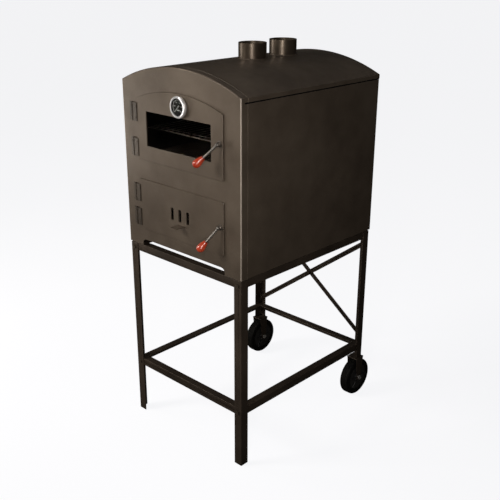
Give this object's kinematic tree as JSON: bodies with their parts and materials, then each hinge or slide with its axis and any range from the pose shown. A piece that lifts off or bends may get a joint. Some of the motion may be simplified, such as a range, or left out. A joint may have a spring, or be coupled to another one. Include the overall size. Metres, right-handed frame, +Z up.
{
  "type": "wood fired pizza oven",
  "caption": "Wood fired oven: arched steel casing, glazed baking door above a vented firebox door, flue collars, open angle-iron stand with rear wheels.",
  "frame": {"origin": "on the floor, at the middle of the whole object's width and depth", "axes": "+Z up; the doors face -Y; +X is to the right of someone facing the doors"},
  "size_m": [0.6218, 0.8854, 1.498],
  "materials": {
    "body_paint": "satin",
    "stand_paint": "satin",
    "hinge_paint": "satin",
    "lever_paint": "satin",
    "inner_steel": "heat darkened",
    "pan_steel": "satin",
    "grate_iron": "matte",
    "rack_chrome": "polished",
    "fastener": "zinc plated",
    "insulation": "matte",
    "hearth_stone": "matte",
    "gasket": "matte",
    "window_glass": "gloss",
    "gauge_chrome": "polished",
    "gauge_dial": "matte",
    "gauge_lens": "gloss",
    "gauge_needle": "satin",
    "grip_red": "gloss",
    "tyre": "matte",
    "hub": "satin"
  },
  "bodies": {
    "oven": {"baking_chamber": "inner_steel", "brace_spacer": "stand_paint", "casing_runners": "stand_paint", "caster_forks": "stand_paint", "chamber_bearers": "inner_steel", "cross_braces": "stand_paint", "fire_grate": "grate_iron", "floor_panel": "body_paint", "flue_collar_front": "body_paint", "flue_collar_rear": "body_paint", "front_plate": "body_paint", "grate_bearers": "inner_steel", "hearth_stones": "hearth_stone", "hinge_frame_leaves": "hinge_paint", "hinge_pins": "hinge_paint", "insulation_blanket": "insulation", "lower_rails_cross": "stand_paint", "lower_rails_side": "stand_paint", "rack_rails": "inner_steel", "rear_panel": "body_paint", "roof_sheet": "body_paint", "side_panel_left": "body_paint", "side_panel_right": "body_paint", "smoke_jacket": "inner_steel", "stand_bolts": "fastener", "stand_leg_front_left": "stand_paint", "stand_leg_front_right": "stand_paint", "stand_leg_rear_left": "stand_paint", "stand_leg_rear_right": "stand_paint", "stand_nuts": "fastener", "top_rails_cross": "stand_paint", "top_rails_side": "stand_paint", "wheel_axles": "fastener"},
    "upper_door": {"upper_door_panel": "body_paint", "window_glass": "window_glass", "glass_retainer": "inner_steel", "retainer_screws": "fastener", "upper_door_gasket": "gasket", "upper_hinge_leaves": "hinge_paint", "thermometer_case": "gauge_chrome", "thermometer_bezel": "gauge_chrome", "thermometer_dial": "gauge_dial", "thermometer_lens": "gauge_lens", "thermometer_stem": "fastener"},
    "thermometer_pointer": {"thermometer_needle": "gauge_needle"},
    "upper_door_latch": {"upper_latch": "lever_paint", "upper_grip": "grip_red"},
    "lower_door": {"lower_door_panel": "body_paint", "lower_door_gasket": "gasket", "lower_hinge_leaves": "hinge_paint", "shutter_guides": "inner_steel"},
    "lower_door_latch": {"lower_latch": "lever_paint", "lower_grip": "grip_red"},
    "vent_shutter": {"air_shutter": "body_paint"},
    "wire_rack": {"oven_rack": "rack_chrome"},
    "ash_drawer": {"ash_pan": "pan_steel"},
    "wheel_left": {"wheel_tyre_left": "tyre", "wheel_hub_left": "hub"},
    "wheel_right": {"wheel_tyre_right": "tyre", "wheel_hub_right": "hub"}
  },
  "joints": [
    {"name": "upper_door_swing", "type": "hinge", "parent": "oven", "child": "upper_door", "pos_m": [-0.24, -0.3718, 0.755], "axis": [0, 0, -1], "range_deg": [0, 110]},
    {"name": "upper_latch_turn", "type": "hinge", "parent": "upper_door", "child": "upper_door_latch", "pos_m": [0.207, -0.3718, 1.216], "axis": [0, -1, 0], "range_deg": [0, 90]},
    {"name": "thermometer_turn", "type": "hinge", "parent": "upper_door", "child": "thermometer_pointer", "pos_m": [0.0175, -0.3817, 1.3135], "axis": [0, 1, 0], "range_deg": [0, 270], "stiffness_Nm_per_rad": 0.0002},
    {"name": "lower_door_swing", "type": "hinge", "parent": "oven", "child": "lower_door", "pos_m": [-0.24, -0.3718, 0.755], "axis": [0, 0, -1], "range_deg": [0, 110]},
    {"name": "lower_latch_turn", "type": "hinge", "parent": "lower_door", "child": "lower_door_latch", "pos_m": [0.207, -0.3718, 0.929], "axis": [0, -1, 0], "range_deg": [0, 90]},
    {"name": "vent_shutter_slide", "type": "slide", "parent": "lower_door", "child": "vent_shutter", "axis": [1, 0, 0], "range_m": [0, 0.02]},
    {"name": "rack_slide", "type": "slide", "parent": "oven", "child": "wire_rack", "axis": [0, -1, 0], "range_m": [0, 0.04]},
    {"name": "ash_pan_slide", "type": "slide", "parent": "oven", "child": "ash_drawer", "axis": [0, -1, 0], "range_m": [0, 0.014]},
    {"name": "wheel_left_spin", "type": "hinge", "parent": "oven", "child": "wheel_left", "pos_m": [-0.2795, 0.3627, 0.08], "axis": [1, 0, 0], "continuous": true},
    {"name": "wheel_right_spin", "type": "hinge", "parent": "oven", "child": "wheel_right", "pos_m": [0.2795, 0.3627, 0.08], "axis": [1, 0, 0], "continuous": true}
  ]
}
